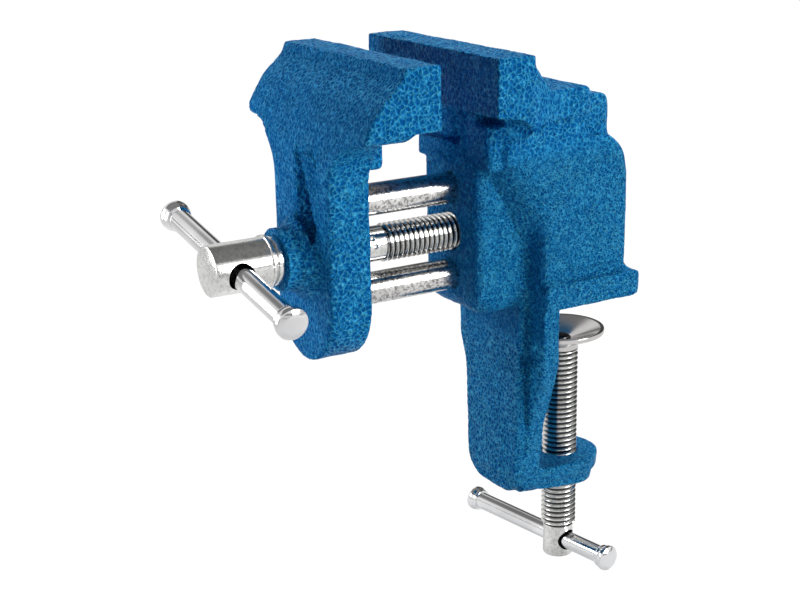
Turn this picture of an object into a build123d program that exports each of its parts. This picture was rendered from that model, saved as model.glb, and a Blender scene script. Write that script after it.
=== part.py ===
from build123d import *
import os
from math import cos, radians, sin, sqrt

# Clamp-on bench vise, 75 mm jaws. Millimetres.
# Origin: where the axis of the clamp screw meets the bench seat, the underside of the ledge.
# +X points from the moving jaw to the fixed jaw, +Y across the jaws, +Z up.

# ---- jaws ----
jaw_width = 75.0
jaw_top_z = 82.6            # jaw tops above the bench seat
jaw_face_offset = 50.7      # fixed jaw face ahead of the clamp screw
jaw_gap = 19.0              # opening as stored
jaw_edge_round = 1.0

# ---- rods and main screw ----
rod_d = 10.0
rod_spacing = 28.0          # upper rod to lower rod, the screw lies midway
rod_end_chamfer = 0.8
screw_drop = 58.7           # screw axis below the jaw tops
thread_d = 12.0             # M12 x 1.75, main screw and clamp screw
rod_rear_margin = 3.3       # rod ends inside the rear of the body, as stored
screw_rear_margin = 11.2    # same for the main screw
running_fit = 0.05          # radial, rods and screws in their bores
press_fit = 0.01            # radial, rods in the moving jaw and bars in their knobs
seat_gap = 0.1              # between faces that turn on each other

# ---- moving jaw ----
head_thick = 11.0           # at the jaw top
head_depth = 20.5           # jaw top to the underside of the wings
face_depth = 18.2           # height of the gripping face
under_face_in = 8.1         # flat under the gripping face
wing_round = 2.5
lip_drop = 3.0              # small lip under the front edge of the top
lip_out = 1.2
cheek_drop = 17.2           # lowest point of the front cheek
cheek_out = 12.9            # how far the cheek stands ahead of the top edge
apron_half = 18.2
apron_thick = 13.4
apron_back_offset = 13.0    # back of the apron behind the gripping face
apron_front_drop = 27.0     # where the neck runs into the flat apron
wing_flat = 3.3             # level underside of a wing outside the neck fillet, with its round
stop_half = 13.5            # pad on the back of the neck
stop_out = 7.5
stop_high = 6.4
stop_drop = 26.2
stop_round = 1.8
boss_r = 9.5
boss_root_r = 13.5
boss_long = 8.8
flute_top_drop = 26.5       # shallow V down the front of the neck
flute_long = 25.0
flute_side = 1.0            # its top stands this far on the near side of the middle
flute_lean = 5.6            # and its lower end this much further
flute_top_deep = 0.6
flute_deep = 1.7            # at its lower end
flute_half = 6.2
rod_socket_deep = 9.5

# ---- main screw, its bar and its retainer ----
head_d = 15.4
head_long = 17.8
bead_d = 16.4
bead_long = 1.2
neck_groove = 0.9           # undercut between bead and washer
washer_d = 15.0
washer_thick = 2.0
cross_hole_d = 8.4
cross_hole_in = 7.8         # cross hole behind the end of the head
bar_d = 7.0
bar_grip = 80.5             # knob centre to knob centre
bar_tilt = 9.6              # degrees, viewer's end low
bar_slid = 2.3              # bar middle off the screw axis
bar_sag = 0.6               # bar lies on the wall of its hole
ring_thick = 1.2
ring_d = 15.0
ring_groove_d = 10.6
ring_pocket_deep = 2.2
ring_pocket_clear = 0.4
knob_d = 9.8
knob_neck_d = 8.6
knob_long = 5.2
knob_neck_long = 1.4
knob_socket = 3.2
knob_crown = 1.3

# ---- fixed body: jaw, anvil and casting ----
fixed_jaw_thick = 13.3
fixed_face_depth = 16.9
jaw_back_drop = 3.4         # jaw back runs straight down this far
anvil_drop = 12.5           # anvil flat below the jaw tops
anvil_thick = 8.5
anvil_long = 28.4           # behind the jaw
anvil_rear_half = 29.0
anvil_taper_long = 15.0     # behind the jaw, where the taper ends
anvil_round = 3.0
anvil_corner = 5.0
cove_long = 9.5
cove_round = 9.0
under_jaw_flat = 8.8        # jaw underside runs back level to here
under_jaw_in = 12.3         # and meets the anvil's underside here
under_jaw_drop = 1.2
rear_boss_half = 22.0
rear_boss_drop = 16.5
rear_boss_out = 11.8        # behind the anvil
rear_boss_round = 4.0
rear_boss_corner = 4.0
body_half = 24.0
body_rear_x = 8.3
body_top_drop = 29.0
body_shoulder_round = 11.5
body_corner = 2.5
block_half = 20.5           # shoulder block under the jaw
block_in = 7.5
block_blend = 10.0          # length over which it widens to the body
block_drop = 37.0
block_round = 5.0
block_top_drop = 23.0       # the block's ends stop short of the jaw
block_top_round = 4.0
block_web_half = 14.0       # its middle runs up into the jaw
shelf_drop = 30.6           # shelf left by the recess in the block's far end
recess_half = 6.0           # recess starts this far on the near side of the middle
recess_deep = 3.7
nose_half = 16.0
nose_in = 6.9
nose_below = 10.3           # nose bottom below the lower rod's axis
nose_round = 8.0
nose_top_round = 4.5
nose_corner = 3.5
flare_foot = 4.5            # flare starts this far behind the column's front
flare_lean = 0.55           # forward per unit of height
flare_long = 8.0            # length over which the nose widens to the body

# ---- fixed body: ledge, column and arm ----
ledge_thick = 8.1
ledge_half = 25.7
ledge_rear_x = 13.8
ledge_round = 3.9
ledge_fillet = 6.5
crease_r = 2.0              # hollow along the body's side above the ledge
crease_deep = 1.2
throat = 18.7               # column's rear face ahead of the clamp screw
plate_thick = 5.9
plate_half = 24.6
plate_straight = 19.4       # full width this far below the seat
plate_knee_half = 16.5
plate_knee_drop = 42.5
plate_toe_half = 13.4
rib_out = 3.7
rib_half = 17.4
rib_taper = 3.0             # narrower at the toe
rib_corner = 1.5
rib_foot_round = 9.5
bench_slot = 60.4           # seat to the top of the arm
arm_thick = 9.5
arm_half = 13.0
arm_draft = 8.0             # degrees
arm_lip = 1.0               # lip round the arm's top
arm_lip_high = 5.2
arm_lip_draft = 6.0
arm_rise = 3.0              # its underside rises this much towards the column
column_foot_round = 4.0
arm_fillet = 5.0

# ---- clamp screw, pad and bar ----
pad_rim_d = 29.3
pad_rim_z = -16.0           # rim below the seat, as stored
pad_rim_thick = 1.8
pad_dish_deep = 3.7
pad_rim_land = 1.0
pad_neck_d = 12.0
pad_neck_z = -21.6
pad_neck_long = 1.6
pad_seat_d = 7.0
stud_d = 4.6
stud_clear = 0.1
stud_head_d = 6.2
stud_head_high = 0.9
clamp_thread_end_z = -88.2
clamp_head_d = 10.4
clamp_head_long = 11.4
clamp_hole_d = 7.4
clamp_hole_in = 5.4         # cross hole below the thread
clamp_bar_d = 6.2
clamp_bar_grip = 64.4
clamp_bar_turn = 9.4        # degrees
clamp_bar_slid = 9.7
clamp_bar_sag = 0.5
clamp_knob_d = 8.8
clamp_knob_neck_d = 7.6
clamp_knob_long = 4.8

# ---- places that follow from the sizes above ----
fixed_face_x = -jaw_face_offset
moving_face_x = fixed_face_x - jaw_gap
neck_fillet = jaw_width / 2 - apron_half - wing_flat
screw_z = jaw_top_z - screw_drop
upper_rod_z = screw_z + rod_spacing / 2
lower_rod_z = screw_z - rod_spacing / 2
apron_back_x = moving_face_x - apron_back_offset
apron_front_x = apron_back_x - apron_thick
boss_front_x = apron_front_x - boss_long
washer_x = boss_front_x - seat_gap
head_root_x = washer_x - washer_thick
head_tip_x = head_root_x - neck_groove - bead_long - head_long
bore_r = thread_d / 2 + running_fit
rod_bore_r = rod_d / 2 + running_fit
anvil_top_z = jaw_top_z - anvil_drop
anvil_low_z = anvil_top_z - anvil_thick
jaw_back_x = fixed_face_x + fixed_jaw_thick
anvil_rear_x = jaw_back_x + anvil_long
body_top_z = jaw_top_z - body_top_drop
plate_rear_x = -throat
plate_front_x = plate_rear_x - plate_thick
rib_front_x = plate_front_x - rib_out
nose_x = fixed_face_x + nose_in
nose_low_z = lower_rod_z - nose_below
arm_top_z = -bench_slot
arm_low_z = arm_top_z - arm_thick
clamp_head_z = clamp_thread_end_z - clamp_head_long
pad_low_z = pad_neck_z - pad_neck_long
jaw_low_z = lower_rod_z - apron_half


def profile(points, radii=0):
    """Closed face through the points, with a radius for each corner."""
    radii = [radii] * len(points) if isinstance(radii, (int, float)) else radii
    return make_face(FilletPolyline(*points, radius=radii, close=True))


def side_prism(points, half, radii=0):
    """XZ profile, as wide as half each side of the middle plane."""
    return extrude(Plane.XZ * profile(points, radii), half, both=True)


def plan_prism(points, low, high, radii=0):
    """XY profile from low to high."""
    return extrude(Plane.XY.offset(low) * profile(points, radii), high - low)


def front_prism(face, x0, x1):
    """YZ face from x0 to x1."""
    return extrude(Plane.YZ.offset(x0) * face, x1 - x0)


def mirrored(points):
    """Half outline, X and +Y, closed over the middle plane."""
    return points + [(x, -y) for x, y in reversed(points)]


def both_sides(points):
    """Half outline, +Y and Z, closed over the middle plane."""
    return points + [(-y, z) for y, z in reversed(points)]


def rod_x(radius, x0, x1, z, y=0):
    """Cylinder along X."""
    return Plane.YZ.offset(x0) * Pos(y, z) * extrude(Circle(radius), x1 - x0)


def rod_z(radius, z0, z1):
    """Cylinder on the clamp axis."""
    return extrude(Plane.XY.offset(z0) * Circle(radius), z1 - z0)


def turned(points, origin, direction):
    """Revolved piece: points are (radius, distance along direction)."""
    plane = Plane(origin=origin, z_dir=direction)
    section = plane * Rot(90, 0, 0) * make_face(Polyline(*points, close=True))
    return revolve(section, Axis(origin, direction))


# ---------------------------------------------------------------- fixed body

def jaw_and_anvil():
    top = jaw_top_z
    side = side_prism(
        [(fixed_face_x, top), (jaw_back_x, top), (jaw_back_x, top - jaw_back_drop),
         (jaw_back_x + cove_long, anvil_top_z), (anvil_rear_x, anvil_top_z),
         (anvil_rear_x, anvil_low_z), (fixed_face_x + under_jaw_in, anvil_low_z),
         (fixed_face_x + under_jaw_flat, top - fixed_face_depth - under_jaw_drop),
         (fixed_face_x, top - fixed_face_depth)],
        jaw_width / 2, [0, jaw_edge_round, 1.5, cove_round, anvil_round, 2.0, 0, 2.5, 0])
    half = jaw_width / 2
    plan = plan_prism(
        mirrored([(fixed_face_x, half), (jaw_back_x - 1.0, half),
                  (jaw_back_x + anvil_taper_long, anvil_rear_half),
                  (anvil_rear_x, anvil_rear_half)]),
        anvil_low_z, top, [0, 6.0, 12.0, anvil_corner, anvil_corner, 12.0, 6.0, 0])
    return side & plan


def rear_boss():
    rear = anvil_rear_x + rear_boss_out
    top = jaw_top_z - rear_boss_drop
    side = side_prism([(jaw_back_x, body_top_z - 5), (jaw_back_x, top), (rear, top),
                       (rear - 1.0, body_top_z - 5)],
                      rear_boss_half, [0, 0, rear_boss_round, 0])
    plan = plan_prism(mirrored([(jaw_back_x, rear_boss_half), (rear, rear_boss_half)]),
                      body_top_z - 5, top, [0, rear_boss_corner, rear_boss_corner, 0])
    return side & plan


def main_casting():
    step_x = anvil_rear_x - 0.5
    side = side_prism(
        [(plate_front_x, 0), (plate_front_x, anvil_low_z), (step_x, anvil_low_z),
         (step_x, body_top_z), (body_rear_x, body_top_z), (body_rear_x, 0)],
        body_half, [0, 0, 0, 2.5, body_shoulder_round, 0])
    plan = plan_prism(mirrored([(plate_front_x, body_half), (body_rear_x, body_half)]),
                      0, anvil_low_z, [0, body_corner, body_corner, 0])
    return side & plan


def shoulder_block():
    x0, x1 = fixed_face_x + block_in, jaw_back_x + 8
    low, high = jaw_top_z - block_drop, jaw_top_z - fixed_face_depth
    top = jaw_top_z - block_top_drop
    outline = profile(
        both_sides([(block_web_half, high), (block_web_half, top), (body_half, top),
                    (body_half, low)]),
        [0, 0, block_top_round, block_round, block_round, block_top_round, 0, 0])
    plan = plan_prism(
        mirrored([(x0, block_half), (x0 + block_blend, body_half), (x1, body_half)]),
        low, high, [3.0, 10.0, 0, 0, 10.0, 3.0])
    shelf = jaw_top_z - shelf_drop
    recess = profile([(x0 - 1, shelf), (x0 + recess_deep, shelf), (x0 + recess_deep, high),
                      (x0 - 1, high)], [0, 1.0, 0, 0])
    recess = extrude(Plane.XZ.offset(-body_half) * recess, body_half + recess_half)
    return (front_prism(outline, x0, x1) & plan) - recess


def nose():
    back = plate_front_x
    high = jaw_top_z - block_drop + 2
    side = side_prism([(nose_x, high), (nose_x, nose_low_z), (back, nose_low_z), (back, high)],
                      nose_half, [0, nose_round, 0, 0])
    plan = plan_prism(mirrored([(nose_x, nose_half), (back, nose_half)]),
                      nose_low_z, high, [nose_corner, 0, 0, nose_corner])
    outline = profile(both_sides([(nose_half, high), (nose_half, nose_low_z)]),
                      [nose_top_round, nose_round, nose_round, nose_top_round])
    return side & plan & front_prism(outline, nose_x, back)


def flare():
    """Widens the nose into the body; its front leans forward as it rises."""
    rise = jaw_top_z - block_drop + 2 - ledge_thick
    foot_x = plate_front_x + flare_foot
    outline = profile(mirrored([(foot_x, nose_half), (foot_x + flare_long, body_half),
                                (body_rear_x - body_corner, body_half)]),
                      [0, 12.0, 0, 0, 12.0, 0])
    lean = Vector(-flare_lean * rise, 0, rise)
    return extrude(Plane.XY.offset(ledge_thick) * outline, lean.length, dir=lean)


def ledge():
    """Bench seat: bullnosed slab, with a root fillet rising tangent into the body's rear."""
    side = side_prism(
        [(plate_front_x, 0), (ledge_rear_x, 0), (ledge_rear_x, ledge_thick),
         (plate_front_x, ledge_thick)],
        ledge_half, [0, ledge_round, ledge_round, 0])
    plan = plan_prism(mirrored([(plate_front_x, ledge_half), (ledge_rear_x, ledge_half)]),
                      0, ledge_thick, [0, ledge_round, ledge_round, 0])
    nose_at = (ledge_rear_x - ledge_round, ledge_thick - ledge_round)
    hollow_x = body_rear_x + ledge_fillet
    rise = sqrt((ledge_round + ledge_fillet) ** 2 - (hollow_x - nose_at[0]) ** 2)
    hollow_at = (hollow_x, nose_at[1] + rise)
    root = make_face(Polyline(
        (body_rear_x - 1, nose_at[1]), nose_at, hollow_at, (body_rear_x, hollow_at[1]),
        (body_rear_x - 1, hollow_at[1]), close=True)) - Pos(*hollow_at) * Circle(ledge_fillet)
    return (side & plan) + extrude(Plane.XZ * root, body_half - body_corner, both=True)


def crease(side):
    """Hollow along the body's side, just above the ledge."""
    return rod_x(crease_r, plate_front_x - 1, ledge_rear_x + 1, ledge_thick + crease_r + 0.2,
                 side * (body_half + crease_r - crease_deep))


def column():
    low = arm_low_z + arm_rise
    top = nose_low_z + nose_round
    outline = profile(
        both_sides([(plate_half, ledge_thick), (plate_half, -plate_straight),
                    (plate_knee_half, -plate_knee_drop), (plate_toe_half, low)]),
        [0, 6.0, 30.0, column_foot_round, column_foot_round, 30.0, 6.0, 0])
    plate = front_prism(outline, plate_front_x, plate_rear_x)
    rib_outline = profile(both_sides([(rib_half, top), (rib_half - rib_taper, low)]),
                          [0, rib_foot_round, rib_foot_round, 0])
    rib = front_prism(rib_outline, rib_front_x, plate_rear_x - 1)
    rib = fillet(rib.faces().sort_by(Axis.X)[0].edges(), rib_corner)
    return plate + rib


def arm_plan(half):
    """Straight-sided arm with a round end on the clamp axis."""
    root = plate_front_x + plate_thick / 3
    return profile([(root, half), (0, half), (0, -half), (root, -half)]) + Circle(half)


def arm():
    top = Plane.XY.offset(arm_top_z)
    slab = extrude(top * arm_plan(arm_half - arm_lip), -arm_thick, taper=arm_draft)
    slab += extrude(top * arm_plan(arm_half), -arm_lip_high, taper=arm_lip_draft)
    keep = side_prism([(plate_front_x, arm_low_z + arm_rise), (plate_front_x, arm_top_z + 1),
                       (arm_half + 1, arm_top_z + 1), (arm_half + 1, arm_low_z),
                       (0, arm_low_z)], arm_half)
    root = side_prism([(plate_rear_x, arm_top_z), (plate_rear_x, arm_top_z + arm_fillet),
                       (plate_rear_x + arm_fillet, arm_top_z)], arm_half - 0.5)
    root -= Pos(plate_rear_x + arm_fillet, 0, arm_top_z + arm_fillet) * Rot(90, 0, 0) * \
        extrude(Circle(arm_fillet), arm_half, both=True)
    return (slab & keep) + root


def fixed_body():
    body = jaw_and_anvil() + rear_boss() + main_casting() + shoulder_block() + nose() + flare()
    body += ledge() + column() + arm()
    body -= crease(1) + crease(-1)
    for z in (upper_rod_z, lower_rod_z):
        body -= rod_x(rod_bore_r, nose_x - 1, ledge_rear_x + 1, z)
    body -= rod_x(bore_r, nose_x - 1, ledge_rear_x + 1, screw_z)
    body -= rod_z(bore_r, arm_low_z - 1, arm_top_z + 1)
    return body


# --------------------------------------------------------------- moving jaw

def jaw_side():
    """XZ outline of the head, neck and apron, without the stop pad."""
    top, face, back = jaw_top_z, moving_face_x, apron_back_x
    edge = face - head_thick
    under = top - head_depth
    return side_prism(
        [(face, top), (edge, top), (edge - lip_out, top - lip_drop),
         (edge - cheek_out * 0.25, top - lip_drop - 2.1),
         (edge - cheek_out * 0.65, top - cheek_drop * 0.57),
         (edge - cheek_out, top - cheek_drop), (apron_front_x, top - apron_front_drop),
         (apron_front_x, jaw_low_z), (back, jaw_low_z), (back, under - 1),
         (face - under_face_in - 3.2, under - 1), (face - under_face_in - 3.2, under),
         (face - under_face_in, top - face_depth - 0.1), (face, top - face_depth)],
        jaw_width / 2, [0, 0.8, 0.8, 3.0, 12.0, 6.0, 20.0, 0, 0, 0, 0, 0, 1.5, 0])


def flute():
    """Shallow V down the neck, wider and deeper towards its lower end."""
    high = jaw_top_z - flute_top_drop
    start = Vector(apron_front_x + flute_top_deep, -flute_side, high)
    end = Vector(apron_front_x + flute_deep, -flute_side - flute_lean, high - flute_long)
    section = make_face(Polyline((0, 0), (2 * flute_half, -2 * flute_deep),
                                 (-2 * flute_half, -2 * flute_deep), close=True))
    run = end - start
    return extrude(Plane(origin=start, x_dir=(0, 1, 0), z_dir=run) * section, run.length)


def moving_jaw():
    top = jaw_top_z
    face = moving_face_x
    back = apron_back_x
    half = jaw_width / 2
    under = top - head_depth
    outline = profile(
        both_sides([(half, top), (half, under), (apron_half, under), (apron_half, lower_rod_z)]),
        [0, wing_round, neck_fillet, 0, 0, neck_fillet, wing_round, 0])
    outline += Pos(0, lower_rod_z) * Circle(apron_half)
    jaw = (jaw_side() & front_prism(outline, apron_front_x - 1, face)) - flute()
    jaw += side_prism(
        [(back - 2, under), (back + stop_out, under),
         (back + stop_out, top - stop_drop - stop_high), (back - 2, top - stop_drop - stop_high)],
        stop_half, [0, 0, stop_round, 0])
    jaw += turned([(0, 0), (boss_r, 0), (boss_r, boss_long * 0.45), (boss_root_r, boss_long),
                   (boss_root_r, boss_long + 2), (0, boss_long + 2)],
                  (boss_front_x, 0, screw_z), (1, 0, 0))
    for z in (upper_rod_z, lower_rod_z):
        jaw -= rod_x(rod_d / 2 + press_fit, back - rod_socket_deep, back + 1, z)
    jaw -= rod_x(bore_r, boss_front_x - 1, back + 1, screw_z)
    jaw -= rod_x(ring_d / 2 + ring_pocket_clear, back - ring_pocket_deep, back + 1, screw_z)
    return jaw


def guide_rod(z):
    x0 = apron_back_x - rod_socket_deep
    x1 = body_rear_x - rod_rear_margin
    rod = rod_x(rod_d / 2, x0, x1, z)
    return chamfer(rod.edges().filter_by(GeomType.CIRCLE), rod_end_chamfer)


# --------------------------------------------------------------- main screw

def main_screw():
    axis_at = (head_tip_x, 0, screw_z)
    root = head_root_x - head_tip_x
    back = apron_back_x - head_tip_x
    end = body_rear_x - screw_rear_margin - head_tip_x
    ring_at = back - ring_pocket_deep + seat_gap
    head_r, thread_r = head_d / 2, thread_d / 2
    screw = turned(
        [(0, 0), (head_r - 0.6, 0), (head_r, 0.6), (head_r, head_long),
         (bead_d / 2, head_long + 0.2), (bead_d / 2, head_long + bead_long - 0.2),
         (head_r - 0.8, head_long + bead_long), (head_r - 0.8, root), (thread_r, root),
         (thread_r, ring_at), (ring_groove_d / 2, ring_at),
         (ring_groove_d / 2, ring_at + ring_thick), (thread_r, ring_at + ring_thick),
         (thread_r, end - 1.2), (thread_r - 1.2, end), (0, end)],
        axis_at, (1, 0, 0))
    hole = Pos(head_tip_x + cross_hole_in, 0, screw_z) * Rot(90 + bar_tilt, 0, 0) * \
        extrude(Circle(cross_hole_d / 2), bead_d, both=True)
    return screw - hole


def thrust_washer():
    ring = Circle(washer_d / 2) - Circle(bore_r)
    return Plane.YZ.offset(washer_x) * Pos(0, screw_z) * extrude(ring, -washer_thick)


def retaining_ring():
    at = apron_back_x - ring_pocket_deep + seat_gap
    ring = Circle(ring_d / 2) - Circle(ring_groove_d / 2 + press_fit)
    ring -= Pos(0, -ring_d / 2) * Rectangle(ring_groove_d * 0.55, ring_d)
    return Plane.YZ.offset(at) * Pos(0, screw_z) * extrude(ring, ring_thick)


# --------------------------------------------------------- bars and knobs

def bar_frame(hole_at, along, side, sag, slid):
    """Plane at a bar's middle, normal along the bar; it lies low and to one side in its hole."""
    down = along.cross(side)
    return Plane(origin=hole_at + (down + side) * (sag / sqrt(2)) + along * slid, z_dir=along)


def bar_between_knobs(plane, diameter, grip, knob_size):
    shank = grip / 2 - knob_size / 2 + knob_socket
    return plane * extrude(Circle(diameter / 2), shank, both=True)


def knob(plane, side, bar, outer, neck, long, grip):
    """Pressed knob; side is +1 or -1 along the bar."""
    base = plane.origin + plane.z_dir * side * (grip / 2 - long / 2)
    r, neck_r = outer / 2, neck / 2
    socket_r = bar / 2 + press_fit
    crown = long - knob_crown
    return turned(
        [(socket_r, 0), (neck_r, 0), (r, knob_neck_long), (r, crown), (r * 0.86, long - 0.4),
         (r * 0.45, long), (0, long), (0, knob_socket), (socket_r, knob_socket)],
        base, plane.z_dir * side)


main_bar_plane = bar_frame(
    Vector(head_tip_x + cross_hole_in, 0, screw_z),
    Vector(0, cos(radians(bar_tilt)), sin(radians(bar_tilt))), Vector(1, 0, 0),
    bar_sag, bar_slid)
clamp_bar_plane = bar_frame(
    Vector(0, 0, clamp_thread_end_z - clamp_hole_in),
    Vector(-sin(radians(clamp_bar_turn)), cos(radians(clamp_bar_turn)), 0),
    Vector(cos(radians(clamp_bar_turn)), sin(radians(clamp_bar_turn)), 0),
    clamp_bar_sag, clamp_bar_slid)


# -------------------------------------------------------------- clamp screw

def clamp_screw():
    seat = pad_rim_z - pad_dish_deep
    shoulder = pad_low_z - seat_gap
    r, head_r = thread_d / 2, clamp_head_d / 2
    screw = turned(
        [(0, clamp_head_z), (head_r - 0.5, clamp_head_z), (head_r, clamp_head_z + 0.5),
         (head_r, clamp_thread_end_z), (r - 0.6, clamp_thread_end_z),
         (r, clamp_thread_end_z + 0.6), (r, shoulder - 0.6), (r - 0.6, shoulder),
         (stud_d / 2, shoulder), (stud_d / 2, seat + seat_gap),
         (stud_head_d / 2, seat + seat_gap), (stud_head_d / 2 - 0.7, seat + stud_head_high),
         (0, seat + stud_head_high + 0.2)],
        (0, 0, 0), (0, 0, 1))
    hole = Pos(0, 0, clamp_thread_end_z - clamp_hole_in) * Rot(0, 0, clamp_bar_turn) * \
        Rot(90, 0, 0) * extrude(Circle(clamp_hole_d / 2), clamp_head_d, both=True)
    return screw - hole


def clamp_pad():
    rim_r, neck_r = pad_rim_d / 2, pad_neck_d / 2
    seat = pad_rim_z - pad_dish_deep
    hole_r = stud_d / 2 + stud_clear
    return turned(
        [(hole_r, seat), (pad_seat_d / 2, seat), (rim_r - pad_rim_land, pad_rim_z),
         (rim_r, pad_rim_z), (rim_r, pad_rim_z - pad_rim_thick), (neck_r, pad_neck_z),
         (neck_r, pad_low_z), (hole_r, pad_low_z)],
        (0, 0, 0), (0, 0, 1))


def clamp_knob(side):
    return knob(clamp_bar_plane, side, clamp_bar_d, clamp_knob_d, clamp_knob_neck_d,
                clamp_knob_long, clamp_bar_grip)


def main_knob(side):
    return knob(main_bar_plane, side, bar_d, knob_d, knob_neck_d, knob_long, bar_grip)


parts = {
    "fixed_body": fixed_body(),
    "moving_jaw": moving_jaw(),
    "upper_guide_rod": guide_rod(upper_rod_z),
    "lower_guide_rod": guide_rod(lower_rod_z),
    "main_screw": main_screw(),
    "thrust_washer": thrust_washer(),
    "retaining_ring": retaining_ring(),
    "main_bar": bar_between_knobs(main_bar_plane, bar_d, bar_grip, knob_long),
    "main_bar_near_knob": main_knob(-1),
    "main_bar_far_knob": main_knob(1),
    "clamp_screw": clamp_screw(),
    "clamp_pad": clamp_pad(),
    "clamp_bar": bar_between_knobs(clamp_bar_plane, clamp_bar_d, clamp_bar_grip,
                                   clamp_knob_long),
    "clamp_bar_near_knob": clamp_knob(-1),
    "clamp_bar_far_knob": clamp_knob(1),
}

os.makedirs("parts", exist_ok=True)
for name, shape in parts.items():
    shape.label = name
    export_step(shape, "parts/" + name + ".step")
    print(name, round(shape.volume, 1), len(shape.solids()))
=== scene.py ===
"""Clamp-on bench vise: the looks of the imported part, in the part's own frame.

Pieces are drawn in mm and scaled to metres. Materials, camera, floor and lamps are in metres.
"""
from math import atan2, ceil, cos, pi, radians, sin, sqrt

import bmesh
import bpy
import numpy as np
from mathutils import Matrix, Vector, noise

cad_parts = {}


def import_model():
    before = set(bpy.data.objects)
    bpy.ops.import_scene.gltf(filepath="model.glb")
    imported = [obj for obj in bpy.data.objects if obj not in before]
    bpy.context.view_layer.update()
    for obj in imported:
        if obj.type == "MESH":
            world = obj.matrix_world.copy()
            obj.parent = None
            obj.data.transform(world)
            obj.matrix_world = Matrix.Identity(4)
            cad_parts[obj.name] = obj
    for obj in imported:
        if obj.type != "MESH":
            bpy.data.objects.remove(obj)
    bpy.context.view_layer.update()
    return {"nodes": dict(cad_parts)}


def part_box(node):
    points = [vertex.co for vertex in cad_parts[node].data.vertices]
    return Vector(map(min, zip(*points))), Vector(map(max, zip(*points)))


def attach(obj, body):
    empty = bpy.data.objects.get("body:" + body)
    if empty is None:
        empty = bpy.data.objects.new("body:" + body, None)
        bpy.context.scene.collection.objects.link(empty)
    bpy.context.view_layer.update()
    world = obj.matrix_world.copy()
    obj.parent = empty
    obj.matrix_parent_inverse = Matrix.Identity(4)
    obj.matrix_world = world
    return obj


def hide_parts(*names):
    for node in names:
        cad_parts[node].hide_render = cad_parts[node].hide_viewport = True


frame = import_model()
nodes = frame["nodes"]
MM = 0.001
ORIGIN, X_AXIS, Z_AXIS = (0, 0, 0), (1, 0, 0), (0, 0, 1)

# ---- sizes, mm, as the CAD has them ----
SCREW_Z = 23.9
UPPER_ROD_Z = 37.9
LOWER_ROD_Z = 9.9
ROD_R = 5.0
ROD_END_ROUND = 0.8
THREAD_R = 6.0
THREAD_ROOT_R = 4.95
PITCH = 1.75
FIXED_FACE_X = -50.7
MOVING_FACE_X = -69.7
APRON_BACK_X = -82.7
THREAD_START_X = -69.5       # the journal shows bare behind the apron
ARM_TOP_Z = -60.4
NECK_FRONT_X = -96.1
WASHER_X = -105.0            # the washer turns on the boss of the moving jaw here
HEAD_TIP_X = -126.9
CROSS_HOLE_X = -119.1
HEAD_ROOT_X = -107.0
MAIN_HEAD_R = 7.7
BEAD_R = 8.2
COLLAR_R = 6.9               # between the bead and the thrust washer
JOURNAL_R = 5.5
SHOULDER_FROM_APRON = 4.1    # the journal starts this far behind the apron
MAIN_HOLE_R = 4.2
MAIN_BAR_R = 3.5
CLAMP_HEAD_Z = -99.6
CLAMP_THREAD_Z = -88.2
CLAMP_HOLE_Z = -93.6
CLAMP_SHOULDER_Z = -23.3     # the clamp screw's thread ends here, under the pad
CLAMP_HEAD_R = 5.2
CLAMP_HOLE_R = 3.7
CLAMP_BAR_R = 3.1
PAD_RIM_Z = -16.0
PAD_FOOT_Z = -23.2
PAD_R = 14.65
PAD_HOLE_R = 2.4
BAR_TILT = radians(9.6)
CLAMP_BAR_TURN = radians(9.4)
MAIN_BAR_ALONG = (0, cos(BAR_TILT), sin(BAR_TILT))
CLAMP_BAR_ALONG = (-sin(CLAMP_BAR_TURN), cos(CLAMP_BAR_TURN), 0)
CLAMP_BAR_SIDE = (cos(CLAMP_BAR_TURN), sin(CLAMP_BAR_TURN), 0)

# ---- how the pieces are drawn, mm ----
ON_AXIS = 1e-6               # a profile's point nearer than this is on the axis
ARC_STEPS = 5
CORNER_SHARE = 0.49          # the most of a side that a corner's arc takes up
THREAD_SEGMENTS = 96
WELD = 0.0008                # a thread's points nearer than this are one
TURNED_SHARP, THREAD_SHARP, BORED_SHARP = radians(32), radians(28), radians(50)


# ------------------------------------------------------------------ meshes

def link(name, mesh):
    piece = bpy.data.objects.new(name, mesh)
    bpy.context.scene.collection.objects.link(piece)
    return piece


def made(name, bm):
    """The bmesh, drawn in mm, becomes a piece in metres."""
    bmesh.ops.scale(bm, vec=(MM, MM, MM), verts=bm.verts)
    mesh = bpy.data.meshes.new(name)
    bm.to_mesh(mesh)
    bm.free()
    return link(name, mesh)


def shade(piece, sharp=TURNED_SHARP):
    """Smooth faces, with the edges over that angle left sharp."""
    bm = bmesh.new()
    bm.from_mesh(piece.data)
    bmesh.ops.recalc_face_normals(bm, faces=bm.faces)
    for face in bm.faces:
        face.smooth = True
    for edge in bm.edges:
        edge.smooth = len(edge.link_faces) == 2 and edge.calc_face_angle(0) < sharp
    bm.to_mesh(piece.data)
    bm.free()
    return piece


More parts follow.
